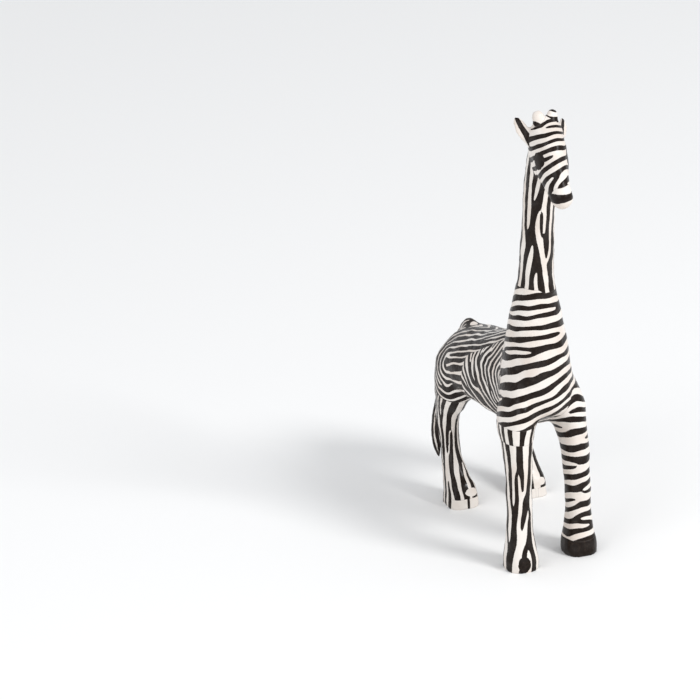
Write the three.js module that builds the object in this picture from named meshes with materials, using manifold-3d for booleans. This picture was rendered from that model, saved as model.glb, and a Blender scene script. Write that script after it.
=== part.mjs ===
// A standing giraffe in papier-mache: body, neck, head, ears, horns, tail and four legs, all one skin.
// Millimetres, +Z up. The animal faces -Y, its right side is -X, and it stands on its soles at Z = 0.
import * as THREE from 'three';
import { mergeVertices } from 'three/addons/utils/BufferGeometryUtils.js';
import Module from 'manifold-3d';

const wasm = await Module();
wasm.setup();

// Driving dimensions.
const hornTop = 324; // soles to the tips of the horns
const browHeight = 301;
const neckBaseHeight = 150;
const backHeight = 133; // the back, halfway along the body
const rumpHeight = 118;
const bellyHeight = 78;
const chestHeight = 97; // the underside, between the front legs
const waistHalfWidth = 21; // just behind the shoulders
const barrelHalfWidth = 28.5;
const rumpHalfWidth = 31;
const neckRadius = 11.3;
const legRadius = 8.8;
const hoofHalfWidth = 11.8;
const hoofHalfLength = 12.8;
const earCup = -1.5; // how far an ear's edges stand forward of its middle
const groundDepth = 12; // the block that trims the soles flat
const chestFront = -60;
const rumpEnd = 100;

// Middle of each sole, seen from above. The front left hoof stands a little back.
const soles = {
  front_right: [-22.7, -61.5],
  front_left: [23.3, -52],
  hind_right: [-22.7, 54.5],
  hind_left: [27.5, 53],
};

const paper = new THREE.MeshStandardMaterial({ color: 0xe9e3dd, roughness: 0.35, metalness: 0 });

/** Where along a sweep the rings go: close together in the round ends, even between them. */
function ringPlaces(length, domeStart, domeEnd, spacing, domeRings) {
  const places = [];
  for (let i = 1; i <= domeRings && domeStart > 0; i++) {
    const angle = (i / (domeRings + 1)) * Math.PI * 0.5;
    places.push({ at: domeStart * (1 - Math.cos(angle)), size: Math.sin(angle) });
  }
  const count = Math.max(2, Math.round((length - domeStart - domeEnd) / spacing));
  for (let i = 0; i <= count; i++) {
    places.push({ at: domeStart + ((length - domeStart - domeEnd) * i) / count, size: 1 });
  }
  for (let i = domeRings; i >= 1 && domeEnd > 0; i--) {
    const angle = (i / (domeRings + 1)) * Math.PI * 0.5;
    places.push({ at: length - domeEnd * (1 - Math.cos(angle)), size: Math.sin(angle) });
  }
  return places;
}

/** A cosine or sine, raised so that the ring it makes is squarer. */
function squared(value, square) {
  return Math.sign(value) * Math.abs(value) ** (1 - square);
}

/**
 * A closed limb: rings swept along a smooth curve.
 * Each section is { at: [x, y, z], half: [first, second], egg, cup, square }. A ring's first axis is
 * `across`, made square to the curve, and its second is the first turned a quarter to the curve:
 * up on the body, forwards on the neck, backwards on a leg. `egg` narrows the ring towards its second
 * axis, `cup` bends it, and `square` fills its corners. A dome length of 0 leaves that end flat.
 */
function limb(sections, options) {
  const { across = [1, 0, 0], sides = 20, spacing = 6 } = options;
  const { domeStart = 0, domeEnd = 0, domeRings = 3 } = options;
  const vectors = (pick) => sections.map((section) => new THREE.Vector3(...pick(section)));
  const spine = new THREE.CatmullRomCurve3(vectors((s) => s.at), false, 'catmullrom', 0.5);
  const sizes = new THREE.CatmullRomCurve3(vectors((s) => [...s.half, 0]), false, 'catmullrom', 0.5);
  const traits = vectors(({ egg = 0, cup = 0, square = 0 }) => [egg, cup, square]);
  const shapes = new THREE.CatmullRomCurve3(traits, false, 'catmullrom', 0.5);
  const length = spine.getLength();
  const positions = [];
  const rings = ringPlaces(length, domeStart, domeEnd, spacing, domeRings);
  for (const ring of rings) {
    const t = spine.getUtoTmapping(Math.min(1, ring.at / length));
    const centre = spine.getPoint(t);
    const tangent = spine.getTangent(t);
    const first = new THREE.Vector3(...across);
    first.addScaledVector(tangent, -first.dot(tangent)).normalize();
    const second = new THREE.Vector3().crossVectors(first, tangent);
    const half = sizes.getPoint(t);
    const shape = shapes.getPoint(t);
    for (let i = 0; i < sides; i++) {
      const angle = (i / sides) * Math.PI * 2;
      const side = squared(Math.cos(angle), shape.z);
      const rise = squared(Math.sin(angle), shape.z);
      const u = side * (1 - shape.x * rise);
      const v = half.y * rise + shape.y * u * u;
      const point = centre.clone();
      point.addScaledVector(first, half.x * ring.size * u).addScaledVector(second, ring.size * v);
      positions.push(point.x, point.y, point.z);
    }
  }
  const triangles = [];
  for (let r = 0; r + 1 < rings.length; r++) {
    for (let i = 0; i < sides; i++) {
      const a = r * sides + i;
      const b = r * sides + ((i + 1) % sides);
      triangles.push(a, b + sides, b, a, a + sides, b + sides);
    }
  }
  const start = spine.getPoint(0);
  const end = spine.getPoint(1);
  const pole = positions.length / 3;
  positions.push(start.x, start.y, start.z, end.x, end.y, end.z);
  const lastRing = (rings.length - 1) * sides;
  for (let i = 0; i < sides; i++) {
    const next = (i + 1) % sides;
    triangles.push(pole, i, next, pole + 1, lastRing + next, lastRing + i);
  }
  const geometry = new THREE.BufferGeometry();
  geometry.setAttribute('position', new THREE.Float32BufferAttribute(positions, 3));
  geometry.setIndex(triangles);
  return geometry;
}

/** The same geometry as a solid that can be joined and cut. */
function solid(geometry) {
  const bare = geometry.clone();
  bare.deleteAttribute('normal');
  bare.deleteAttribute('uv');
  const merged = mergeVertices(bare, 1e-4);
  return new wasm.Manifold(
    new wasm.Mesh({
      numProp: 3,
      vertProperties: new Float32Array(merged.attributes.position.array),
      triVerts: new Uint32Array(merged.index.array),
    }),
  );
}

/** One ring of the body, from the heights of its back and its underside. */
function bodySection(y, top, bottom, halfWidth, egg) {
  return { at: [0, y, (top + bottom) / 2], half: [halfWidth, (top - bottom) / 2], egg };
}

function makeBody() {
  const sections = [
    bodySection(chestFront, 140, chestHeight + 8, 16, 0.1),
    bodySection(-42, 150, chestHeight - 3, waistHalfWidth, 0.12),
    bodySection(-18, 150, 86, waistHalfWidth, 0.12),
    bodySection(8, 142.5, bellyHeight + 1.5, waistHalfWidth + 3.5, 0.1),
    bodySection(34, backHeight, bellyHeight, barrelHalfWidth, 0.08),
    bodySection(60, 126, bellyHeight - 3, rumpHalfWidth, 0.08),
    bodySection(82, rumpHeight, bellyHeight - 7, rumpHalfWidth, 0.1),
    bodySection(rumpEnd, 105, bellyHeight, 27, 0.1),
  ];
  return limb(sections, { sides: 26, spacing: 6.5, domeStart: 16, domeEnd: 24, domeRings: 4 });
}

function makeNeck() {
  const sections = [
    { at: [0, -38, chestHeight], half: [23, 21] },
    { at: [0, -38, 113], half: [25.5, 26.5] },
    { at: [0, -38.2, 131], half: [24, 27] },
    { at: [0, -39.2, neckBaseHeight], half: [21.2, 24] },
    { at: [0, -39.5, 172], half: [17.6, 18.8] },
    { at: [0, -41, 196], half: [12.8, 13.4] },
    { at: [0, -44.3, 220], half: [neckRadius + 0.5, neckRadius + 0.7] },
    { at: [0, -48.5, 246], half: [neckRadius, neckRadius] },
    { at: [0, -54, 272], half: [neckRadius, neckRadius] },
    { at: [0, -62, 297], half: [neckRadius, neckRadius] },
    { at: [0, -66, 306], half: [10, 10] },
  ];
  return limb(sections, { sides: 24, spacing: 6.5, domeStart: 13, domeEnd: 9 });
}

function makeHead() {
  const sections = [
    { at: [0, -56, 311], half: [9, 9.5] },
    { at: [0, -62.4, 308], half: [11.6, 13] },
    { at: [0, -69, browHeight - 1.2], half: [12.2, 15], egg: -0.1 },
    { at: [0, -76, 289], half: [11, 14.1], egg: -0.16 },
    { at: [0, -84.4, 279.8], half: [8.6, 10.6], egg: -0.12 },
    { at: [0, -92, 271.6], half: [7.4, 8.4] },
    { at: [0, -97, 266], half: [6.6, 6.8] },
  ];
  return limb(sections, { sides: 20, spacing: 5, domeStart: 7, domeEnd: 7 });
}

/** A horn: a short stem with a round knob on top. */
function makeHorn(side) {
  const foot = [4.6 * side, -68, 306];
  const tip = [5.4 * side, -63, hornTop];
  const between = (share) => foot.map((value, axis) => value + (tip[axis] - value) * share);
  const sections = [
    { at: foot, half: [4.2, 4.2] },
    { at: between(0.4), half: [3, 3] },
    { at: between(0.72), half: [3.9, 3.9] },
    { at: tip, half: [4.2, 4.2] },
  ];
  return limb(sections, { sides: 12, spacing: 4, domeEnd: 4.5 });
}

/** An ear: a cupped leaf that points outwards, up and back. */
function makeEar(side) {
  const foot = [9.8 * side, -63.5, 301.5];
  const tip = side < 0 ? [-17.5, -54, 318.6] : [17, -53, 313];
  const between = (share) => foot.map((value, axis) => value + (tip[axis] - value) * share);
  const sections = [
    { at: foot, half: [3, 2.4], cup: 0 },
    { at: between(0.3), half: [4.4, 1.9], cup: earCup * side },
    { at: between(0.65), half: [4.5, 1.7], cup: earCup * side },
    { at: tip, half: [2.6, 1.3], cup: 0 },
  ];
  return limb(sections, { across: [-0.74 * side, -0.29, 0.62], sides: 14, spacing: 3.5, domeEnd: 3 });
}

function makeTail() {
  const sections = [
    { at: [0, 76, rumpHeight], half: [5, 4.8] },
    { at: [-0.5, 88.5, rumpHeight + 0.5], half: [5, 5] },
    { at: [-5, 101.5, 102], half: [3.8, 3.8] },
    { at: [-13, 101, 84], half: [3.6, 3.6] },
    { at: [-21.5, 92.5, 67], half: [3.8, 3.8] },
    { at: [-27.5, 85.5, 50], half: [4.2, 4.4] },
    { at: [-28.5, 83, 36], half: [3.9, 4.2] },
    { at: [-28, 80.5, 23], half: [1.6, 1.8] },
  ];
  return limb(sections, { sides: 12, spacing: 6, domeStart: 5, domeEnd: 3 });
}

/** A front leg: straight from the shoulder to the fetlock, then a hoof that spreads to its flat sole. */
function makeFrontLeg([x, y]) {
  const side = Math.sign(x);
  const sections = [
    { at: [x - 9.5 * side, y + 19, 127], half: [10, 15] },
    { at: [x - 4.4 * side, y + 13, 107], half: [12.8, 19.5] },
    { at: [x - 1.5 * side, y + 6, 87], half: [10.2, 14.5] },
    { at: [x - 0.5 * side, y + 1, 64], half: [legRadius + 0.4, legRadius + 0.6] },
    { at: [x, y + 0.5, 38], half: [legRadius, legRadius] },
    { at: [x, y + 0.5, 20], half: [legRadius + 1.1, legRadius + 1.3], square: 0.05 },
    { at: [x, y, 7], half: [hoofHalfWidth - 0.2, hoofHalfLength - 0.4], square: 0.15 },
    { at: [x, y, -7], half: [hoofHalfWidth, hoofHalfLength], square: 0.15 },
  ];
  return limb(sections, { sides: 16, spacing: 6, domeStart: 8 });
}

/** A hind leg: thigh, a slimmer hock, and a long foot that comes forward to the hoof. */
function makeHindLeg([x, y]) {
  const side = Math.sign(x);
  const sections = [
    { at: [x - 10 * side, y + 15, 112], half: [10, 17] },
    { at: [x - 4 * side, y + 14, 97], half: [12.5, 23] },
    { at: [x - side, y + 15, 81], half: [11.2, 22.5] },
    { at: [x + side, y + 18, 64], half: [8.4, 12.5] },
    { at: [x + side, y + 17, 46], half: [7, 7.8] },
    { at: [x + side, y + 14, 30], half: [7.6, 8.6] },
    { at: [x + 0.5 * side, y + 6, 16], half: [9.4, 11], square: 0.1 },
    { at: [x, y + 1, 7], half: [hoofHalfWidth - 0.6, hoofHalfLength - 0.2], square: 0.35 },
    { at: [x, y, -7], half: [hoofHalfWidth - 0.4, hoofHalfLength], square: 0.4 },
  ];
  return limb(sections, { sides: 16, spacing: 6, domeStart: 8 });
}

function makeGiraffe() {
  const forms = [
    makeBody(),
    makeNeck(),
    makeHead(),
    makeHorn(-1),
    makeHorn(1),
    makeEar(-1),
    makeEar(1),
    makeTail(),
    makeFrontLeg(soles.front_right),
    makeFrontLeg(soles.front_left),
    makeHindLeg(soles.hind_right),
    makeHindLeg(soles.hind_left),
  ];
  const ground = new THREE.BoxGeometry(400, 400, groundDepth).translate(0, 0, -groundDepth / 2);
  const joined = forms.map(solid).reduce((whole, form) => whole.add(form)).subtract(solid(ground));
  const { vertProperties, triVerts } = joined.getMesh();
  const geometry = new THREE.BufferGeometry();
  geometry.setAttribute('position', new THREE.Float32BufferAttribute(vertProperties, 3));
  geometry.setIndex(Array.from(triVerts));
  geometry.computeBoundingBox();
  const centre = geometry.boundingBox.getCenter(new THREE.Vector3());
  geometry.translate(-centre.x, -centre.y, 0);
  geometry.computeVertexNormals();
  const giraffe = new THREE.Mesh(geometry, paper);
  giraffe.name = 'giraffe';
  return giraffe;
}

const group = new THREE.Group();
group.add(makeGiraffe());

export default group;
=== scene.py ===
import math
import random

import bpy
import numpy as np
from mathutils import Matrix, Vector, noise
from mathutils.bvhtree import BVHTree


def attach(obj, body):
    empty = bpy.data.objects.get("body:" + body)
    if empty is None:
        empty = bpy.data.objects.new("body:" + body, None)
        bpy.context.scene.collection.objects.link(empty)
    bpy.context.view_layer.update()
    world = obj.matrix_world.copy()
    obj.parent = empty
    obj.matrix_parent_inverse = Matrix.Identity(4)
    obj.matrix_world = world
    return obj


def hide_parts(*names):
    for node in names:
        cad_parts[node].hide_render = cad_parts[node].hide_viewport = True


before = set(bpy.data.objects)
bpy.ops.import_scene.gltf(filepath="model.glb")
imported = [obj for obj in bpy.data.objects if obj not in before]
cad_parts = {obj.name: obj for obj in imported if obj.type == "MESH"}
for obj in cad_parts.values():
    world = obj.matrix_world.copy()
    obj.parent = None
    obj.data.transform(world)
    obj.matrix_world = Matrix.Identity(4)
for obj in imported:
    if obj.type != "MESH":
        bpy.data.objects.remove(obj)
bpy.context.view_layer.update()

METRE = 0.001  # millimetres to metres

# ---------------------------------------------------------------- sizes of the animal

HORN_TOP = 324
BROW_HEIGHT = 301
NECK_BASE_HEIGHT = 150
BACK_HEIGHT = 133
RUMP_HEIGHT = 118
BELLY_HEIGHT = 78
CHEST_HEIGHT = 97
WAIST_HALF_WIDTH = 21
BARREL_HALF_WIDTH = 28.5
RUMP_HALF_WIDTH = 31
NECK_RADIUS = 11.3
LEG_RADIUS = 8.8
HOOF_HALF_WIDTH = 11.8
HOOF_HALF_LENGTH = 12.8
EAR_CUP = -1.5
CHEST_FRONT = -60
RUMP_END = 100
SOLES = {
    "front_right": (-22.7, -61.5),
    "front_left": (23.3, -52),
    "hind_right": (-22.7, 54.5),
    "hind_left": (27.5, 53),
}

# ---------------------------------------------------------------- forms


def smooth_curve(rows, t):
    """Points of a uniform Catmull-Rom curve through the rows, at t from 0 to 1."""
    rows = np.asarray(rows, float)
    padded = np.vstack([2 * rows[0] - rows[1], rows, 2 * rows[-1] - rows[-2]])
    place = np.clip(t, 0, 1) * (len(rows) - 1)
    i = np.minimum(place.astype(int), len(rows) - 2)
    w = (place - i)[:, None]
    before, start, end, after = (padded[i + k] for k in range(4))
    leave, arrive = (end - before) / 2, (after - start) / 2
    cubic = 2 * start - 2 * end + leave + arrive
    square = 3 * end - 3 * start - 2 * leave - arrive
    return cubic * w**3 + square * w**2 + leave * w + start


def unit(rows):
    return rows / np.linalg.norm(rows, axis=-1, keepdims=True)


def squared(value, square):
    """A cosine or sine, raised so that the ring it makes has fuller corners."""
    return np.sign(value) * np.abs(value) ** (1 - square)


class Limb:
    """A closed limb: rings swept along a smooth curve, as in the part's source, but finer.

    A section is a place on the curve and its ring's two half sizes. The first lies along `across`, made
    square to the curve, and the second is the first turned a quarter about the curve. A section's "egg"
    narrows the ring towards its second axis, its "cup" bends the ring, and its "square" fills the corners.
    """

    SIDES = 64
    SPACING = 1.6
    DOME_RINGS = 12
    LENGTH_SAMPLES = 400
    TANGENT_STEP = 1e-4

    def __init__(self, sections, across=(1, 0, 0), dome_start=0, dome_end=0):
        spine = [s["at"] for s in sections]
        samples = np.linspace(0, 1, self.LENGTH_SAMPLES)
        steps = np.diff(smooth_curve(spine, samples), axis=0)
        arc = np.concatenate([[0], np.cumsum(np.linalg.norm(steps, axis=1))])
        at, size = self.ring_places(arc[-1], dome_start, dome_end)
        t = np.interp(at, arc, samples)
        self.centres = smooth_curve(spine, t)
        self.first, second = self.ring_axes(spine, t, np.asarray(across, float))
        half = smooth_curve([s["half"] for s in sections], t)
        traits = [[s.get("egg", 0), s.get("cup", 0), s.get("square", 0)] for s in sections]
        egg, cup, square = smooth_curve(traits, t).T[:, :, None]
        angle = np.linspace(0, 2 * math.pi, self.SIDES, endpoint=False)[None, :]
        rise = squared(np.sin(angle), square)
        u = squared(np.cos(angle), square) * (1 - egg * rise)
        v = half[:, 1:2] * rise + cup * u * u
        out = (half[:, 0:1] * size[:, None] * u)[..., None] * self.first[:, None]
        out = out + (size[:, None] * v)[..., None] * second[:, None]
        rings = self.centres[:, None] + out
        self.points = np.vstack([rings.reshape(-1, 3), smooth_curve(spine, np.array([0.0, 1.0]))])
        self.points[:, 2] = np.maximum(self.points[:, 2], 0)
        self.faces = self.skin(len(at))
        self.tree = BVHTree.FromPolygons(self.points.tolist(), self.faces)
        self.low = self.points.min(0)
        self.high = self.points.max(0)

    def ring_places(self, length, dome_start, dome_end):
        """How far along the limb each ring is, and its size there: the rings close in the round ends."""
        angle = np.arange(1, self.DOME_RINGS + 1) / (self.DOME_RINGS + 1) * math.pi / 2
        count = max(3, round((length - dome_start - dome_end) / self.SPACING))
        at = [np.linspace(dome_start, length - dome_end, count)]
        size = [np.ones(count)]
        if dome_start:
            at.insert(0, dome_start * (1 - np.cos(angle)))
            size.insert(0, np.sin(angle))
        if dome_end:
            at.append(length - dome_end * (1 - np.cos(angle[::-1])))
            size.append(np.sin(angle[::-1]))
        return np.concatenate(at), np.concatenate(size)

    def ring_axes(self, spine, t, across):
        step = self.TANGENT_STEP
        tangent = unit(smooth_curve(spine, t + step) - smooth_curve(spine, t - step))
        first = unit(across - tangent * (tangent @ across)[:, None])
        return first, np.cross(first, tangent)

    def skin(self, count):
        """The faces: quads between the rings, and a fan of triangles at each end."""
        sides = self.SIDES
        faces = []
        for r in range(count - 1):
            for i in range(sides):
                a, b = r * sides + i, r * sides + (i + 1) % sides
                faces.append((a, a + sides, b + sides, b))
        pole, last = count * sides, (count - 1) * sides
        for i in range(sides):
            after = (i + 1) % sides
            faces.append((pole, i, after))
            faces.append((pole + 1, last + after, last + i))
        return faces

    def distance(self, points, reach):
        """How far each point is from this limb's surface, and `reach` where it is farther."""
        near = np.all((points > self.low - reach) & (points < self.high + reach), axis=1)
        result = np.full(len(points), float(reach))
        for i in np.flatnonzero(near):
            found = self.tree.find_nearest(Vector(points[i]), reach)
            if found[3] is not None:
                result[i] = found[3]
        return result

    def turn(self, points):
        """Each point's turn about the limb's middle at the point's height, in radians: 0 is in front."""
        level = self.centres[np.argsort(self.centres[:, 2])]
        middle = np.stack([np.interp(points[:, 2], level[:, 2], level[:, k]) for k in range(2)], axis=1)
        offset = points[:, :2] - middle
        return np.arctan2(offset[:, 0], -offset[:, 1])


def between(foot, tip, share):
    return tuple(a + (b - a) * share for a, b in zip(foot, tip))


def body_section(y, top, bottom, half_width, egg):
    return {"at": (0, y, (top + bottom) / 2), "half": (half_width, (top - bottom) / 2), "egg": egg}


def make_body():
    sections = [
        body_section(CHEST_FRONT, 140, CHEST_HEIGHT + 8, 16, 0.1),
        body_section(-42, 150, CHEST_HEIGHT - 3, WAIST_HALF_WIDTH, 0.12),
        body_section(-18, 150, 86, WAIST_HALF_WIDTH, 0.12),
        body_section(8, 142.5, BELLY_HEIGHT + 1.5, WAIST_HALF_WIDTH + 3.5, 0.1),
        body_section(34, BACK_HEIGHT, BELLY_HEIGHT, BARREL_HALF_WIDTH, 0.08),
        body_section(60, 126, BELLY_HEIGHT - 3, RUMP_HALF_WIDTH, 0.08),
        body_section(82, RUMP_HEIGHT, BELLY_HEIGHT - 7, RUMP_HALF_WIDTH, 0.1),
        body_section(RUMP_END, 105, BELLY_HEIGHT, 27, 0.1),
    ]
    return Limb(sections, dome_start=16, dome_end=24)


def make_neck():
    sections = [
        {"at": (0, -38, CHEST_HEIGHT), "half": (23, 21)},
        {"at": (0, -38, 113), "half": (25.5, 26.5)},
        {"at": (0, -38.2, 131), "half": (24, 27)},
        {"at": (0, -39.2, NECK_BASE_HEIGHT), "half": (21.2, 24)},
        {"at": (0, -39.5, 172), "half": (17.6, 18.8)},
        {"at": (0, -41, 196), "half": (12.8, 13.4)},
        {"at": (0, -44.3, 220), "half": (NECK_RADIUS + 0.5, NECK_RADIUS + 0.7)},
        {"at": (0, -48.5, 246), "half": (NECK_RADIUS, NECK_RADIUS)},
        {"at": (0, -54, 272), "half": (NECK_RADIUS, NECK_RADIUS)},
        {"at": (0, -62, 297), "half": (NECK_RADIUS, NECK_RADIUS)},
        {"at": (0, -66, 306), "half": (10, 10)},
    ]
    return Limb(sections, dome_start=13, dome_end=9)


def make_head():
    sections = [
        {"at": (0, -56, 311), "half": (9, 9.5)},
        {"at": (0, -62.4, 308), "half": (11.6, 13)},
        {"at": (0, -69, BROW_HEIGHT - 1.2), "half": (12.2, 15), "egg": -0.1},
        {"at": (0, -76, 289), "half": (11, 14.1), "egg": -0.16},
        {"at": (0, -84.4, 279.8), "half": (8.6, 10.6), "egg": -0.12},
        {"at": (0, -92, 271.6), "half": (7.4, 8.4)},
        {"at": (0, -97, 266), "half": (6.6, 6.8)},
    ]
    return Limb(sections, dome_start=7, dome_end=7)


def make_horn(side):
    """A short stem with a round knob on top."""
    foot, tip = (4.6 * side, -68, 306), (5.4 * side, -63, HORN_TOP)
    sections = [
        {"at": foot, "half": (4.2, 4.2)},
        {"at": between(foot, tip, 0.4), "half": (3, 3)},
        {"at": between(foot, tip, 0.72), "half": (3.9, 3.9)},
        {"at": tip, "half": (4.2, 4.2)},
    ]
    return Limb(sections, dome_end=4.5)


def make_ear(side):
    """A cupped leaf that points outwards, up and back: the right one stands higher."""
    foot = (9.8 * side, -63.5, 301.5)
    tip = (-17.5, -54, 318.6) if side < 0 else (17, -53, 313)
    sections = [
        {"at": foot, "half": (3, 2.4), "cup": 0},
        {"at": between(foot, tip, 0.3), "half": (4.4, 1.9), "cup": EAR_CUP * side},
        {"at": between(foot, tip, 0.65), "half": (4.5, 1.7), "cup": EAR_CUP * side},
        {"at": tip, "half": (2.6, 1.3), "cup": 0},
    ]
    return Limb(sections, across=(-0.74 * side, -0.29, 0.62), dome_end=3)


def make_tail():
    sections = [
        {"at": (0, 76, RUMP_HEIGHT), "half": (5, 4.8)},
        {"at": (-0.5, 88.5, RUMP_HEIGHT + 0.5), "half": (5, 5)},
        {"at": (-5, 101.5, 102), "half": (3.8, 3.8)},
        {"at": (-13, 101, 84), "half": (3.6, 3.6)},
        {"at": (-21.5, 92.5, 67), "half": (3.8, 3.8)},
        {"at": (-27.5, 85.5, 50), "half": (4.2, 4.4)},
        {"at": (-28.5, 83, 36), "half": (3.9, 4.2)},
        {"at": (-28, 80.5, 23), "half": (1.6, 1.8)},
    ]
    return Limb(sections, dome_start=5, dome_end=3)


def make_front_leg(x, y):
    """Straight from the shoulder to the fetlock, then a hoof that spreads to its sole."""
    s = 1 if x > 0 else -1
    sections = [
        {"at": (x - 9.5 * s, y + 19, 127), "half": (10, 15)},
        {"at": (x - 4.4 * s, y + 13, 107), "half": (12.8, 19.5)},
        {"at": (x - 1.5 * s, y + 6, 87), "half": (10.2, 14.5)},
        {"at": (x - 0.5 * s, y + 1, 64), "half": (LEG_RADIUS + 0.4, LEG_RADIUS + 0.6)},
        {"at": (x, y + 0.5, 38), "half": (LEG_RADIUS, LEG_RADIUS)},
        {"at": (x, y + 0.5, 20), "half": (LEG_RADIUS + 1.1, LEG_RADIUS + 1.3), "square": 0.05},
        {"at": (x, y, 7), "half": (HOOF_HALF_WIDTH - 0.2, HOOF_HALF_LENGTH - 0.4), "square": 0.15},
        {"at": (x, y, -7), "half": (HOOF_HALF_WIDTH, HOOF_HALF_LENGTH), "square": 0.15},
    ]
    return Limb(sections, dome_start=8)


def make_hind_leg(x, y):
    """A thigh, a slimmer hock, and a long foot that comes forward to the hoof."""
    s = 1 if x > 0 else -1
    sections = [
        {"at": (x - 10 * s, y + 15, 112), "half": (10, 17)},
        {"at": (x - 4 * s, y + 14, 97), "half": (12.5, 23)},
        {"at": (x - s, y + 15, 81), "half": (11.2, 22.5)},
        {"at": (x + s, y + 18, 64), "half": (8.4, 12.5)},
        {"at": (x + s, y + 17, 46), "half": (7, 7.8)},
        {"at": (x + s, y + 14, 30), "half": (7.6, 8.6)},
        {"at": (x + 0.5 * s, y + 6, 16), "half": (9.4, 11), "square": 0.1},
        {"at": (x, y + 1, 7), "half": (HOOF_HALF_WIDTH - 0.6, HOOF_HALF_LENGTH - 0.2), "square": 0.35},
        {"at": (x, y, -7), "half": (HOOF_HALF_WIDTH - 0.4, HOOF_HALF_LENGTH), "square": 0.4},
    ]
    return Limb(sections, dome_start=8)


def make_forms():
    return {
        "body": make_body(),
        "neck": make_neck(),
        "head": make_head(),
        "horn_right": make_horn(-1),
        "horn_left": make_horn(1),
        "ear_right": make_ear(-1),
        "ear_left": make_ear(1),
        "tail": make_tail(),
        "front_right": make_front_leg(*SOLES["front_right"]),
        "front_left": make_front_leg(*SOLES["front_left"]),
        "hind_right": make_hind_leg(*SOLES["hind_right"]),
        "hind_left": make_hind_leg(*SOLES["hind_left"]),
    }


# ---------------------------------------------------------------- the skin: one mesh over all the forms

VOXEL = 1.08  # the skin's mesh size
FILLET = 9.0  # how far from a joint between two forms the paper rounds it off
FULL_ROUNDING = 0.35  # the share of that distance where the rounding is strongest
FINE_FORM_REACH = 6.0  # nearer than this to a horn or an ear the rounding fades, to keep its shape
JOINT_ROUNDS = 60
SKIN_ROUNDS = 3
SOLE_REACH = 0.4  # what lies lower than this is pressed flat into the soles


def make_object(name, points, faces):
    mesh = bpy.data.meshes.new(name)
    mesh.from_pydata(np.asarray(points).tolist(), [], faces)
    mesh.update()
    piece = bpy.data.objects.new(name, mesh)
    bpy.context.scene.collection.objects.link(piece)
    return piece


def make_plain(piece, name):
    """A new object with the modifiers' result as its own mesh."""
    graph = bpy.context.evaluated_depsgraph_get()
    mesh = bpy.data.meshes.new_from_object(piece.evaluated_get(graph))
    mesh.name = name
    plain = bpy.data.objects.new(name, mesh)
    bpy.context.scene.collection.objects.link(plain)
    old = piece.data
    bpy.data.objects.remove(piece)
    bpy.data.meshes.remove(old)
    return plain


def mesh_points(mesh):
    flat = np.empty(len(mesh.vertices) * 3)
    mesh.vertices.foreach_get("co", flat)
    return flat.reshape(-1, 3)


def mesh_normals(mesh):
    flat = np.empty(len(mesh.vertices) * 3, dtype=np.float32)
    mesh.vertex_normals.foreach_get("vector", flat)
    return flat.reshape(-1, 3).astype(float)


def mesh_edges(mesh):
    flat = np.empty(len(mesh.edges) * 2, dtype=np.int64)
    mesh.edges.foreach_get("vertices", flat)
    return flat.reshape(-1, 2)


def relax(points, edges, weight, rounds):
    """Moves each point towards the mean of its neighbours, by its weight."""
    count = np.bincount(edges.ravel(), minlength=len(points)).astype(float)[:, None]
    for _ in range(rounds):
        total = np.zeros_like(points)
        for axis in range(3):
            total[:, axis] += np.bincount(edges[:, 0], points[edges[:, 1], axis], len(points))
            total[:, axis] += np.bincount(edges[:, 1], points[edges[:, 0], axis], len(points))
        points = points + (total / count - points) * weight[:, None]
    return points


def smoothstep(low, high, value):
    share = np.clip((value - low) / (high - low), 0, 1)
    return share * share * (3 - 2 * share)


def join_forms(forms):
    """The forms under one even mesh."""
    points, faces = [], []
    start = 0
    for form in forms.values():
        points.append(form.points)
        faces += [tuple(start + i for i in face) for face in form.faces]
        start += len(form.points)
    rough = make_object("rough", np.vstack(points), faces)
    remesh = rough.modifiers.new("remesh", "REMESH")
    remesh.mode = "VOXEL"
    remesh.voxel_size = VOXEL
    return make_plain(rough, "skin")


def make_skin(forms):
    """The skin, with its joints rounded and its soles flat, and how far its points are from each form."""
    skin = join_forms(forms)
    places = mesh_points(skin.data)
    distances = {name: form.distance(places, FILLET) for name, form in forms.items()}
    second_nearest = np.sort(np.stack(list(distances.values())), axis=0)[1]
    joint = 1 - smoothstep(FILLET * FULL_ROUNDING, FILLET, second_nearest)
    fine_forms = [distances[name] for name in ("horn_right", "horn_left", "ear_right", "ear_left")]
    joint *= smoothstep(0, FINE_FORM_REACH, np.minimum.reduce(fine_forms))
    edges = mesh_edges(skin.data)
    places = relax(places, edges, 0.5 * joint, JOINT_ROUNDS)
    places = relax(places, edges, np.full(len(places), 0.5), SKIN_ROUNDS)
    places[:, 2] = np.where(places[:, 2] < SOLE_REACH, 0, places[:, 2])
    skin.data.vertices.foreach_set("co", places.ravel())
    skin.data.update()
    return skin, distances


# ---------------------------------------------------------------- stripes: one wave for each piece of paper
# A wave is (carrier, cos, sin): its phase is the carrier, in cycles, plus the angle of (cos, sin). The ink
# lies where the cosine of that phase is high. Forks, where one stripe becomes two, are in the angle.

UNDERMOST = 9.0  # the cover of the paper that lies everywhere, under the others
HIDDEN = -4.0  # the cover's value well outside a piece of paper, in millimetres
PASTE_REACH = 1.3  # how far from a form the skin still has that form's paper
HALF_STEP = 0.5  # a paper's thickness grows from this far outside its edge to this far inside
FORK_REACH = 5.0  # how near the skin a random place has to be for a fork to start there
FORK_TRIES = 40  # random places that are tried for each fork


def wobble(points, size, seed):
    """A smooth random value from about -1 to 1 at each point."""
    shift = Vector((seed * 17.3, seed * 5.1, seed * 9.7))
    return np.array([noise.noise(Vector(p) / size + shift) for p in points])


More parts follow.
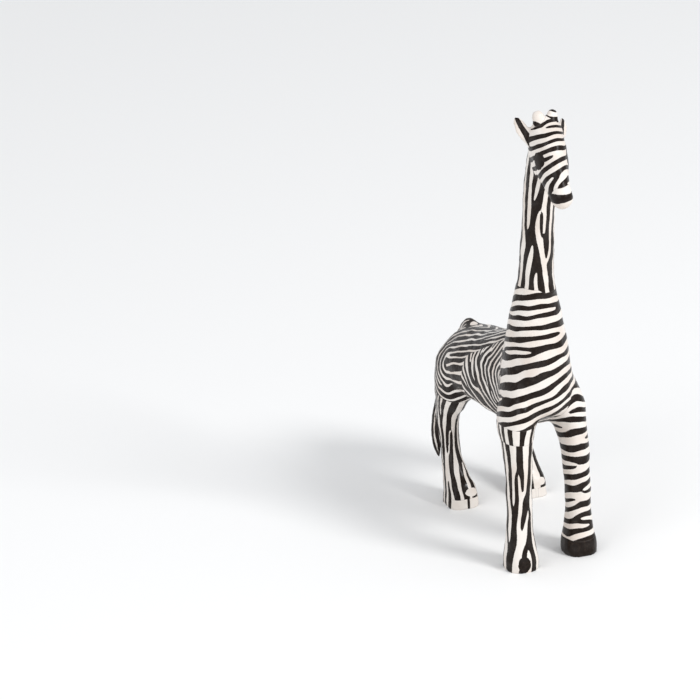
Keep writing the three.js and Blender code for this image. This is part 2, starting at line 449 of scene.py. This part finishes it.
class Surface:
    """The skin's points and normals, and what its papers are worked out from."""

    def __init__(self, mesh, distances, forms):
        self.points = mesh_points(mesh)
        self.normals = mesh_normals(mesh)
        self.distances = distances
        self.forms = forms
        self.near = {name: PASTE_REACH - distance for name, distance in distances.items()}
        self.soft = wobble(self.points, 26, 1)  # how the stripes sway
        self.fine = wobble(self.points, 10, 2)  # how they and the papers' edges waver

    def turn(self, name):
        return self.forms[name].turn(self.points)

    def from_place(self, x, y, z):
        return self.points - np.array([x, y, z])


class Paper:
    """A piece of printed paper, or a mark painted on it: where it lies, and how its stripes run there."""

    def __init__(self, name, cover, carrier=0.0, angle=0.0, ink=0.0, painted=False):
        self.name = name
        self.cover = cover  # millimetres inside its edge
        self.carrier = carrier
        self.angle = angle
        self.ink = ink  # more than 0 is more black than white
        self.painted = painted  # it has no paper edge


def all_of(*covers):
    return np.minimum.reduce(covers)


def scattered_forks(at, inside, across, count, apart, spread, seed):
    """The angle of forks at random places where `inside` is true, for stripes that lie across `across`.

    Each fork is a line through the body, and the angle round it adds one stripe on one side of it.
    """
    draw = random.Random(seed)
    places, facings = at.points[inside], at.normals[inside]
    low, high = places.min(0), places.max(0)
    angle = np.zeros(len(at.points))
    chosen = []
    for _ in range(count * FORK_TRIES):
        target = [draw.uniform(a, b) for a, b in zip(low, high)]
        side, sign = draw.choice((-1, 1)), draw.choice((-1, 1))
        gaps = np.linalg.norm(places - target, axis=1)
        i = np.argmin(gaps)
        crowded = any(np.linalg.norm(places[i] - place) < apart for place in chosen)
        if gaps[i] > FORK_REACH or crowded or len(chosen) == count:
            continue
        chosen.append(places[i])
        normal = facings[i]
        rise = unit(np.asarray(across, float) - (normal @ across) * normal)
        along = np.cross(normal, rise) * side
        offset = at.points - places[i]
        angle += sign * np.arctan2(offset @ rise, offset @ along / spread)
    return angle


def limb_forks(turn, height, radius, forks, spread):
    """The angle of lengthwise stripes that fork on a round limb: each fork is (turn, height, sign)."""
    angle = np.zeros(len(turn))
    for fork_turn, fork_height, sign in forks:
        w = (height - fork_height) / (radius * spread) + 1j * (turn - fork_turn)
        angle += sign * (np.angle(np.sinh(w / 2)) + (turn - fork_turn) / 2)
    return angle


def band_forks(turn, height, radius, forks, spread):
    """The angle of bands round a limb that fork: each fork is (turn, height, sign)."""
    angle = np.zeros(len(turn))
    for fork_turn, fork_height, sign in forks:
        angle += sign * np.arctan2(height - fork_height, radius * np.sin(turn - fork_turn) / spread)
    return angle


# ---------------------------------------------------------------- papers of the body, the neck and the tail


def make_back(at):
    """The stripes follow the back, turn round the haunch and come forward below it."""
    x, y, z = at.points.T
    spacing, widening, climb = 5.0, 0.1, 0.0025
    haunch = np.array([-RUMP_HALF_WIDTH, 57, 103])
    forward = unit(np.array([0, -1, 0.34]))
    offset = np.stack([-np.abs(x), y, z], axis=1) - haunch
    offset[:, 2] -= climb * np.maximum(-offset[:, 1], 0) ** 2
    reach = np.maximum(offset @ forward, 0)
    loop = np.linalg.norm(offset - reach[:, None] * forward, axis=1) - widening * reach
    carrier = loop / spacing + 0.34 * at.soft + 0.22 * at.fine
    inside = (y > 15) & (z > 84)
    angle = scattered_forks(at, inside, across=(0, 0.35, 1), count=16, apart=11, spread=3.4, seed=41)
    return Paper("back", np.full(len(x), UNDERMOST), carrier, angle, ink=0.6)


def make_tail_root(at):
    """A knot where the tail starts: a dark ring with a white middle."""
    radius, dark_radius, spacing = 6.4, 4.7, 7.5
    ring = np.linalg.norm(at.from_place(-1, 79, 123), axis=1) + 0.8 * at.fine
    return Paper("tail_root", radius - ring, (ring - dark_radius) / spacing, painted=True)


def make_flank(at):
    """Near-upright stripes that run down and a little forward to the belly."""
    x, y, z = at.points.T
    spacing = 6.6
    rear = 33 - 1.6 * np.maximum(z - 119, 0) - y
    beside_spine = np.abs(x) - 5 - 0.1 * (y + 20)
    cover = all_of(rear + 0.8 * at.fine, y - CHEST_FRONT, beside_spine)
    lean = 0.8 * np.maximum(122 - z, 0) + 0.7 * np.maximum(z - 127, 0)
    carrier = (y + lean) / spacing + 0.4 * at.soft + 0.34 * at.fine
    inside = (cover > 1) & (z > 80)
    angle = scattered_forks(at, inside, across=(0, 1, -0.5), count=34, apart=7.5, spread=3.6, seed=42)
    return Paper("flank", cover, carrier, angle, ink=0.4)


def make_upper_neck(at):
    """Long upright stripes with forks, down to the collar."""
    z = at.points[:, 2]
    stripes, fork_spread = 10, 3.0
    forks = (
        (-0.75, 262, 1), (-0.25, 250, -1), (-0.05, 236, 1), (-0.6, 226, -1), (0.25, 218, 1), (-1.1, 240, 1),
        (-0.35, 207, -1), (0.6, 268, -1), (2.4, 240, 1), (-2.2, 250, -1), (3.0, 215, 1), (1.4, 232, -1),
    )
    turn = at.turn("neck")
    angle = stripes * turn + limb_forks(turn, z, NECK_RADIUS, forks, fork_spread)
    cover = all_of(z - 190 + 1.2 * at.fine, at.near["neck"])
    return Paper("upper_neck", cover, 0.0, angle + 1.0 * at.soft + 0.4 * at.fine, ink=0.2)


def make_chest(at):
    """The chest and the lower neck: broad stripes across, rising to the animal's left."""
    x, y, z = at.points.T
    spacing = 8.7
    rear = -33 + 1.9 * np.maximum(z - 130, 0) - y + at.fine
    collar = 191.5 + 3 * smoothstep(2, -4, x)
    cover = all_of(rear, collar - z + 0.8 * at.fine)
    sag = 0.34 * smoothstep(150, 100, z) * x
    level = 0.93 * z - 0.4 * np.maximum(122 - z, 0) + 0.33 * y - 0.06 * x - sag - 0.008 * x * x
    underside = smoothstep(112, 100, z) * smoothstep(19, 10, np.abs(x)) * np.maximum(y + 56, 0)
    carrier = (level - 1.2 * underside) / spacing + 0.24 * at.soft + 0.12 * at.fine
    inside = (rear > 1) & (192.5 - z + 0.1 * x + 0.8 * at.fine > 1)
    angle = scattered_forks(at, inside, across=(0, 0.3, 1), count=24, apart=14, spread=3.4, seed=33)
    return Paper("chest", cover, carrier, angle, ink=0.05)


def make_tail_paper(at):
    """Dark, with thin white lines along it."""
    stripes = 4
    cover = all_of(at.near["tail"] - 0.2, 112 - at.points[:, 2])
    return Paper("tail", cover, 0.0, stripes * at.turn("tail") + 0.8 * at.soft + 0.6 * at.fine, ink=0.85)


# ---------------------------------------------------------------- papers of the legs


def make_striped_leg(at, name, stripes, top, ink, forks):
    """Lengthwise stripes with forks, up to the height `top`."""
    z = at.points[:, 2]
    fork_spread = 2.8
    turn = at.turn(name)
    angle = stripes * turn + limb_forks(turn, z, LEG_RADIUS, forks, fork_spread)
    cover = all_of(at.near[name], top - z + 0.9 * at.fine)
    return Paper(name, cover, 0.0, angle + 0.8 * at.soft + 0.4 * at.fine, ink=ink)


def make_striped_legs(at):
    front_right_forks = (
        (-0.45, 70, -1), (-0.1, 58, 1), (-0.9, 48, 1), (0.45, 42, -1), (-0.25, 30, 1),
        (0.1, 15, -1), (-1.3, 22, 1), (2.5, 50, 1), (1.7, 30, -1),
    )
    hind_right_forks = (
        (-1.0, 62, 1), (-0.2, 50, -1), (-0.6, 36, 1), (0.5, 27, -1), (-1.5, 28, 1),
        (-0.9, 18, -1), (2.6, 44, -1), (-2.3, 56, 1),
    )
    hind_left_forks = ((0.9, 58, 1), (0.2, 36, -1), (-0.6, 22, 1), (2.0, 48, -1), (-2.4, 40, 1))
    return [
        make_striped_leg(at, "front_right", stripes=8, top=101, ink=0.15, forks=front_right_forks),
        make_striped_leg(at, "hind_right", stripes=12, top=77, ink=0.3, forks=hind_right_forks),
        make_striped_leg(at, "hind_left", stripes=7, top=77, ink=0.3, forks=hind_left_forks),
    ]


def make_shoulder_strip(at):
    """A strip round the top of the front right leg, with finer stripes."""
    z = at.points[:, 2]
    stripes, start_turn = 12, 1.4
    cover = all_of(at.near["front_right"], 101.4 - z, z - 91 + 0.6 * at.fine)
    angle = stripes * at.turn("front_right") + start_turn + 0.8 * at.soft
    return Paper("shoulder_strip", cover, 0.0, angle, ink=0.1)


def make_toe_mark(at):
    """A dark patch on the front right toe."""
    radius, stretch = 4.4, np.array([1, 0.8, 0.74])
    ring = np.linalg.norm(at.from_place(-24.4, -74, 6.2) * stretch, axis=1) + 1.2 * at.fine
    cover = all_of(radius - ring + 1.1 * at.fine, at.near["front_right"])
    return Paper("toe_mark", cover, ink=0.6, painted=True)


def make_front_left_leg(at):
    """Bands round the leg that arch over the shoulder."""
    x, y, z = at.points.T
    spacing, fork_spread = 8.0, 1.5
    forks = (
        (-0.2, 104, 1), (-0.8, 92, -1), (0.4, 84, 1), (-0.5, 66, -1),
        (0.2, 47, 1), (-0.6, 40, -1), (-0.2, 27, 1), (0.5, 22, -1),
    )
    arch = 0.05 * smoothstep(84, 106, z) * np.minimum((x - 19) ** 2, 200)
    carrier = (z + arch - 0.14 * x + 0.12 * y) / spacing + 0.26 * at.soft + 0.16 * at.fine
    angle = band_forks(at.turn("front_left"), z, LEG_RADIUS, forks, fork_spread)
    inner = x - 2 - 0.4 * np.maximum(z - 105, 0)
    top = 119 - z + 0.35 * (x - 18)
    cover = all_of(at.near["front_left"], top, inner + 0.6 * at.fine)
    return Paper("front_left", cover, carrier, angle, ink=0.05)


def make_black_hoof(at):
    cover = all_of(at.near["front_left"], 11.5 - at.points[:, 2] + 0.8 * at.fine)
    return Paper("black_hoof", cover, 0.12 * at.soft, 0.0, ink=0.35)


def make_hind_hoof(at, name):
    """A white tip in two pieces with a gap between, and a white bump above it."""
    x, y, z = at.points.T
    sole_x, sole_y = SOLES[name]
    gap = np.abs(x - sole_x - 1.5) - 0.9
    cover = all_of(at.near[name], 7.2 - z + 0.5 * at.fine, sole_y - 8.5 - y, gap)
    tip = Paper(name + "_tip", cover, 0.5 + 0.1 * at.fine, 0.0, ink=-0.4)

    radius, stretch = 3.6, np.array([0.62, 0.9, 1.25])
    ring = np.linalg.norm(at.from_place(sole_x + 5.7, sole_y - 10.5, 11.4) * stretch, axis=1)
    cover = all_of(radius - ring + 0.5 * at.fine, at.near[name])
    return [tip, Paper(name + "_bump", cover, 0.5, ink=-0.6, painted=True)]


# ---------------------------------------------------------------- papers of the head


def make_face(at):
    """Arcs across the face, round a line that passes the nose."""
    y, z = at.points[:, 1], at.points[:, 2]
    spacing, first_arc, least_arc = 6.0, 11.8, 8.4
    line = unit(np.array([-0.294, -0.879, 0.375]))
    offset = at.from_place(7.4, -95.7, 274.9)
    arc = np.linalg.norm(offset - (offset @ line)[:, None] * line, axis=1)
    carrier = (np.maximum(arc, least_arc) - first_arc) / spacing + 0.16 * at.fine
    inside = (at.distances["head"] < 1) & (z > 284)
    angle = scattered_forks(at, inside, across=(-0.3, 0.2, 1), count=5, apart=11, spread=2.4, seed=44)
    cover = all_of(at.near["head"] + 0.4, -60 - y + 0.25 * (z - 290) + 0.5 * at.fine)
    return Paper("head", cover, carrier, angle, ink=-0.05)


def make_eye(at, name, side):
    """A dark oval patch on the side of the head."""
    radius, stretch = 4.5, np.array([0.4, 0.9, 0.74])
    ring = np.linalg.norm(at.from_place(9.6 * side, -77.6, 294.2) * stretch, axis=1)
    return Paper(name, radius - ring + 1.2 * at.fine, ink=0.8, painted=True)


def make_muzzle(at):
    """White, with one dark band round the nose."""
    x, y, z = at.points.T
    spacing = 16
    cheek = 2 * np.maximum(y + 93.5, 0)
    cover = all_of(at.near["head"], 280.8 + 0.12 * x - z - cheek + 0.5 * at.fine)
    band = z - 273.2 - 0.08 * (x + 5) + 0.6 * at.fine
    return Paper("muzzle", cover, band / spacing, 0.0, ink=-0.5)


def make_ear_paper(at, name):
    """Dark inside, with a white rim."""
    form = at.forms[name]
    middle = len(form.centres) // 2
    offset = (at.points - form.centres[middle]) @ form.first[middle]
    share = (at.points[:, 2] - form.low[2]) / (form.high[2] - form.low[2])
    wedge = (offset - 0.9) / (11.5 - 6.5 * share) + 0.1 * at.fine
    return Paper(name, at.near[name] - 0.2, wedge, 0.0, ink=0.05)


def make_horn_paper(at, name, mark_height, spacing, ink):
    """White, with dark marks: one at `mark_height`, and the others `spacing` apart from it."""
    x, z = at.points[:, 0], at.points[:, 2]
    marks = (z - mark_height + 0.25 * x) / spacing + 0.16 * wobble(at.points, 5, 5)
    return Paper(name, at.near[name] - 0.2, marks, 0.0, ink)


# ---------------------------------------------------------------- laying the papers


def make_papers(at):
    """The papers and marks in the order they are laid: each lies over those before it."""
    return [
        make_back(at),
        make_tail_root(at),
        make_flank(at),
        make_upper_neck(at),
        make_chest(at),
        *make_striped_legs(at),
        make_shoulder_strip(at),
        make_toe_mark(at),
        make_front_left_leg(at),
        make_black_hoof(at),
        *make_hind_hoof(at, "hind_right"),
        *make_hind_hoof(at, "hind_left"),
        make_face(at),
        make_eye(at, "eye_right", -1),
        make_eye(at, "eye_left", 1),
        make_muzzle(at),
        make_ear_paper(at, "ear_right"),
        make_ear_paper(at, "ear_left"),
        make_horn_paper(at, "horn_right", mark_height=314.2, spacing=14, ink=-0.4),
        make_horn_paper(at, "horn_left", mark_height=319.2, spacing=6, ink=0.05),
        make_tail_paper(at),
    ]


def keep_attribute(mesh, name, kind, values):
    field = {"FLOAT": "value", "FLOAT_VECTOR": "vector"}[kind]
    layer = mesh.attributes.new(name, kind, "POINT")
    layer.data.foreach_set(field, np.ascontiguousarray(values, dtype=np.float32).ravel())


def lay_papers(skin, papers):
    """Writes each paper's cover and wave on the skin, and how many papers lie on each point."""
    count = len(skin.data.vertices)
    layers = np.zeros(count)
    for paper in papers:
        cover = np.maximum(paper.cover, HIDDEN)
        carrier = np.broadcast_to(paper.carrier, count)
        angle = np.broadcast_to(paper.angle, count)
        wave = np.stack([carrier, np.cos(angle), np.sin(angle)], axis=1)
        keep_attribute(skin.data, paper.name + "_cover", "FLOAT", cover)
        keep_attribute(skin.data, paper.name + "_wave", "FLOAT_VECTOR", wave)
        if not paper.painted:
            layers += smoothstep(-HALF_STEP, HALF_STEP, cover)
    keep_attribute(skin.data, "layers", "FLOAT", layers)


# ---------------------------------------------------------------- node trees


class Wire:
    """A socket that can be used in an expression."""

    def __init__(self, tree, socket):
        self.tree = tree
        self.socket = socket

    def math(self, operation, *others):
        inputs = dict(enumerate((self,) + others))
        return self.tree.node("ShaderNodeMath", {"operation": operation}, inputs).wire()

    def __add__(self, other):
        return self.math("ADD", other)

    def __sub__(self, other):
        return self.math("SUBTRACT", other)

    def __mul__(self, other):
        return self.math("MULTIPLY", other)

    def __rsub__(self, other):
        return (self * -1) + other

    __radd__ = __add__
    __rmul__ = __mul__


class Node:
    def __init__(self, tree, made):
        self.tree = tree
        self.made = made

    def wire(self, output=0):
        return Wire(self.tree, self.made.outputs[output])


class Tree:
    """A node tree: expressions on its wires add Math nodes, and node() adds any other."""

    def __init__(self, tree):
        self.tree = tree

    def node(self, kind, settings=None, inputs=None):
        made = self.tree.nodes.new(kind)
        for name, value in (settings or {}).items():
            setattr(made, name, value)
        for name, value in (inputs or {}).items():
            if isinstance(value, Wire):
                self.tree.links.new(value.socket, made.inputs[name])
            else:
                made.inputs[name].default_value = value
        return Node(self, made)

    def mix(self, factor, low, high, kind="RGBA"):
        a, b, out = {"FLOAT": (2, 3, 0), "VECTOR": (4, 5, 1), "RGBA": (6, 7, 2)}[kind]
        node = self.node("ShaderNodeMix", {"data_type": kind}, {0: factor, a: low, b: high})
        return node.wire(out)

    def ramp(self, value, low, high):
        """0 below `low`, 1 above `high`, smooth between."""
        inputs = {"Value": value, "From Min": low, "From Max": high, "To Min": 0.0, "To Max": 1.0}
        return self.node("ShaderNodeMapRange", {"interpolation_type": "SMOOTHSTEP"}, inputs).wire()

    def grain(self, place, size, detail=2.0, roughness=0.5):
        """Noise from 0 to 1 whose features are about `size` millimetres."""
        inputs = {"Vector": place, "Scale": 1 / (size * METRE), "Detail": detail, "Roughness": roughness}
        return self.node("ShaderNodeTexNoise", {}, inputs).wire()

    def attribute(self, name, output):
        return self.node("ShaderNodeAttribute", {"attribute_name": name}).wire(output)


# ---------------------------------------------------------------- relief: lumps, wrinkles and paper edges

CREASE_MIDDLE = 0.25  # a wrinkle rises where its noise is nearer to its middle than this
SOLE_FADE = (0.2, 3)  # the heights between which the relief grows from nothing: the soles stay flat


def make_relief_tree(material):
    group = bpy.data.node_groups.new("pasted_paper_relief", "GeometryNodeTree")
    sockets = (
        ("Geometry", "NodeSocketGeometry", None),
        ("Lump Size", "NodeSocketFloat", 13.0),
        ("Lump Height", "NodeSocketFloat", 1.8),
        ("Wrinkle Size", "NodeSocketFloat", 3.4),
        ("Wrinkle Height", "NodeSocketFloat", 0.85),
        ("Paper Thickness", "NodeSocketFloat", 0.16),
        ("Inset", "NodeSocketFloat", 0.8),
    )
    for name, kind, value in sockets:
        socket = group.interface.new_socket(name, in_out="INPUT", socket_type=kind)
        if value is not None:
            socket.default_value = value
    group.interface.new_socket("Geometry", in_out="OUTPUT", socket_type="NodeSocketGeometry")
    tree = Tree(group)
    given = tree.node("NodeGroupInput")
    place = tree.node("GeometryNodeInputPosition").wire()

    def lump(size, detail):
        """Noise about 0 whose features are about `size` millimetres."""
        frequency = size.math("MULTIPLY", METRE).math("POWER", -1.0)
        inputs = {"Vector": place, "Scale": frequency, "Detail": detail}
        return tree.node("ShaderNodeTexNoise", {}, inputs).wire() - 0.5

    layers = tree.node("GeometryNodeInputNamedAttribute", {"data_type": "FLOAT"}, {"Name": "layers"}).wire()
    lumps = lump(given.wire("Lump Size"), 1.0) * given.wire("Lump Height")
    crease = CREASE_MIDDLE - lump(given.wire("Wrinkle Size"), 2.0).math("ABSOLUTE")
    wrinkles = crease * given.wire("Wrinkle Height")
    height = lumps + wrinkles + layers * given.wire("Paper Thickness") - given.wire("Inset")
    split = tree.node("ShaderNodeSeparateXYZ", {}, {"Vector": place})
    off_floor = tree.ramp(split.wire("Z"), SOLE_FADE[0] * METRE, SOLE_FADE[1] * METRE)
    rise = height * off_floor * METRE
    normal = tree.node("GeometryNodeInputNormal").wire()
    offset = tree.node("ShaderNodeVectorMath", {"operation": "SCALE"}, {"Vector": normal, "Scale": rise})
    inputs = {"Geometry": given.wire("Geometry"), "Offset": offset.wire()}
    moved = tree.node("GeometryNodeSetPosition", {}, inputs)
    real = tree.node("GeometryNodeRealizeInstances", {}, {"Geometry": moved.wire()})
    inputs = {"Geometry": real.wire(), "Material": material}
    finished = tree.node("GeometryNodeSetMaterial", {}, inputs)
    tree.node("NodeGroupOutput", {}, {"Geometry": finished.wire()})
    return group


def add_relief(skin, material):
    modifier = skin.modifiers.new("relief", "NODES")
    modifier.node_group = make_relief_tree(material)
    return make_plain(skin, "giraffe_paper")


# ---------------------------------------------------------------- material

WHITE = (0.80, 0.75, 0.70, 1)
WARM_WHITE = (0.71, 0.63, 0.565, 1)
BLACK = (0.010, 0.0055, 0.0035, 1)
WORN_BLACK = (0.030, 0.020, 0.014, 1)
EDGE = (0.30, 0.265, 0.25, 1)
PAINT_WANDER = 1.2  # the most that a painted mark's edge wanders, from side to side, in millimetres
INK_SOFTNESS = 0.07  # the print goes from white to black where the wave is between minus this and this


def top_paper(tree, papers, ragged):
    """The wave and the ink of the paper on top, and how far the nearest paper edge is."""
    wave = tree.attribute(papers[0].name + "_wave", "Vector")
    rim = tree.attribute(papers[0].name + "_cover", "Fac")
    ink = rim * 0.0 + papers[0].ink
    for paper in papers[1:]:
        cover = tree.attribute(paper.name + "_cover", "Fac")
        margin = ragged * PAINT_WANDER + cover if paper.painted else cover
        on_top = margin.math("GREATER_THAN", 0.0)
        wave = tree.mix(on_top, wave, tree.attribute(paper.name + "_wave", "Vector"), "VECTOR")
        ink = tree.mix(on_top, ink, paper.ink, "FLOAT")
        if not paper.painted:
            rim = tree.mix(on_top, rim.math("MINIMUM", cover * -1), cover, "FLOAT")
    return wave, ink, rim


def print_black(tree, place, wave, ink, ragged):
    """1 where the print is black, and 0 where it is white."""
    split = tree.node("ShaderNodeSeparateXYZ", {}, {"Vector": wave})
    turn = split.wire("X") * (2 * math.pi)
    signal = turn.math("COSINE") * split.wire("Y") - turn.math("SINE") * split.wire("Z")
    thickness = tree.grain(place, size=16.0, detail=1.0) - 0.5
    level = signal + ink + ragged * 0.3 + thickness * 1.5
    return tree.ramp(level, -INK_SOFTNESS, INK_SOFTNESS)


def paper_colour(tree, place, black, rim):
    """Warm white and worn black, greyer along the papers' torn edges."""
    tint = tree.ramp(tree.grain(place, size=22.0, detail=3.0), 0.35, 0.7)
    wear = tree.ramp(tree.grain(place, size=2.2, detail=4.0, roughness=0.7), 0.45, 0.8)
    white = tree.mix(tint, WHITE, WARM_WHITE)
    dark = tree.mix(wear, BLACK, WORN_BLACK)
    torn = (1 - tree.ramp(rim, 0.05, 0.32)) * (0.34 - black * 0.26)
    return tree.mix(torn, tree.mix(black, white, dark), EDGE)


def make_striped_paper(papers):
    """Striped print with torn edges, creases and fibres, under unevenly brushed varnish."""
    material = bpy.data.materials.new("striped_paper")
    material.use_nodes = True
    material.node_tree.nodes.clear()
    tree = Tree(material.node_tree)
    place = tree.node("ShaderNodeTexCoord").wire("Object")
    ragged = tree.grain(place, size=1.5, detail=3.0) - 0.5
    wave, ink, rim = top_paper(tree, papers, ragged)
    black = print_black(tree, place, wave, ink, ragged)
    brush = tree.grain(place, size=7.0)
    fibre = tree.grain(place, size=0.8, detail=3.0, roughness=0.6)
    crease = tree.grain(place, size=3.2, detail=3.0)
    relief = fibre * 0.10 + crease * 0.55 + tree.ramp(rim, 0.0, 0.5) * 0.18
    bump = tree.node("ShaderNodeBump", {}, {"Strength": 0.9, "Distance": 0.0005, "Height": relief})
    shader = tree.node("ShaderNodeBsdfPrincipled", {}, {
        "Base Color": paper_colour(tree, place, black, rim),
        "Roughness": brush * 0.16 + fibre * 0.06 + 0.22,
        "Coat Weight": tree.ramp(brush, 0.4, 0.7) * 0.26 + 0.03,
        "Coat Roughness": 0.12,
        "Specular IOR Level": 0.12,
        "Normal": bump.wire(),
    })
    tree.node("ShaderNodeOutputMaterial", {}, {"Surface": shader.wire()})
    return material


# ---------------------------------------------------------------- floor, light and camera

CAMERA_AZIMUTH = math.radians(18.5)  # towards the animal's right from straight in front
CAMERA_RISE = math.radians(22)
CAMERA_ROLL = math.radians(2)
CAMERA_DISTANCE = 3.3875
LENS = 257.14
SENSOR = 36
FOCUS = (0, -58.5, 0)  # between the front soles
FOCUS_RIGHT = 0.1358  # metres from the view's middle to the focus
FOCUS_DOWN = 0.1416
FLOOR_HALF = 14.0  # metres from the floor's middle to each side


def camera_axes():
    """The camera's right, up and back."""
    flat = math.cos(CAMERA_RISE)
    back = Vector((-math.sin(CAMERA_AZIMUTH) * flat, -math.cos(CAMERA_AZIMUTH) * flat, math.sin(CAMERA_RISE)))
    right = Vector((0, 0, 1)).cross(back).normalized()
    up = back.cross(right)
    c, s = math.cos(CAMERA_ROLL), math.sin(CAMERA_ROLL)
    return right * c - up * s, right * s + up * c, back


def make_camera(plan_centre):
    right, up, back = camera_axes()
    focus = (Vector(FOCUS) - Vector((plan_centre[0], plan_centre[1], 0))) * METRE
    place = focus - right * FOCUS_RIGHT + up * FOCUS_DOWN + back * CAMERA_DISTANCE
    data = bpy.data.cameras.new("camera")
    data.lens = LENS
    data.sensor_width = SENSOR
    data.clip_end = 100
    camera = bpy.data.objects.new("camera", data)
    turn = Matrix((right, up, back)).transposed().to_4x4()
    camera.matrix_world = Matrix.Translation(place) @ turn
    bpy.context.scene.collection.objects.link(camera)
    bpy.context.scene.camera = camera


def make_floor():
    corners = [(FLOOR_HALF * x, FLOOR_HALF * y, 0) for x, y in ((-1, -1), (1, -1), (1, 1), (-1, 1))]
    floor = make_object("floor", corners, [(0, 1, 2, 3)])
    material = bpy.data.materials.new("pale_floor")
    material.use_nodes = True
    shader = material.node_tree.nodes["Principled BSDF"]
    shader.inputs["Base Color"].default_value = (0.93, 0.925, 0.915, 1)
    shader.inputs["Roughness"].default_value = 0.9
    floor.data.materials.append(material)


def make_light(name, place, target, size, power):
    data = bpy.data.lights.new(name, "AREA")
    data.shape = "DISK"
    data.size = size
    data.energy = power
    light = bpy.data.objects.new(name, data)
    light.location = place
    light.rotation_euler = (Vector(place) - Vector(target)).to_track_quat("Z", "Y").to_euler()
    bpy.context.scene.collection.objects.link(light)


def make_lights():
    middle = (0, 0, 0.15)
    make_light("key", (1.3, -1.9, 1.9), middle, size=0.9, power=47)
    make_light("fill", (-2.2, -1.2, 1.4), middle, size=2.0, power=16)
    world = bpy.data.worlds.new("studio")
    world.use_nodes = True
    background = world.node_tree.nodes["Background"]
    background.inputs["Color"].default_value = (0.95, 0.97, 1.0, 1)
    background.inputs["Strength"].default_value = 0.72
    bpy.context.scene.world = world
    bpy.context.scene.view_settings.view_transform = "Standard"


# ---------------------------------------------------------------- the scene


def make_giraffe(forms, plan_centre):
    """The finished figure, in metres, with the middle of its plan at the origin."""
    skin, distances = make_skin(forms)
    surface = Surface(skin.data, distances, forms)
    papers = make_papers(surface)
    lay_papers(skin, papers)
    places = surface.points.copy()
    places[:, :2] -= plan_centre
    skin.data.vertices.foreach_set("co", (places * METRE).ravel())
    giraffe = add_relief(skin, make_striped_paper(papers))
    for polygon in giraffe.data.polygons:
        polygon.use_smooth = True
    return giraffe


def main():
    forms = make_forms()
    low = np.minimum.reduce([form.low for form in forms.values()])
    high = np.maximum.reduce([form.high for form in forms.values()])
    plan_centre = (low + high)[:2] / 2
    giraffe = make_giraffe(forms, plan_centre)
    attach(giraffe, "root")
    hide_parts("giraffe")
    make_floor()
    make_lights()
    make_camera(plan_centre)
    print("triangles", sum(len(p.vertices) - 2 for p in giraffe.data.polygons))


main()
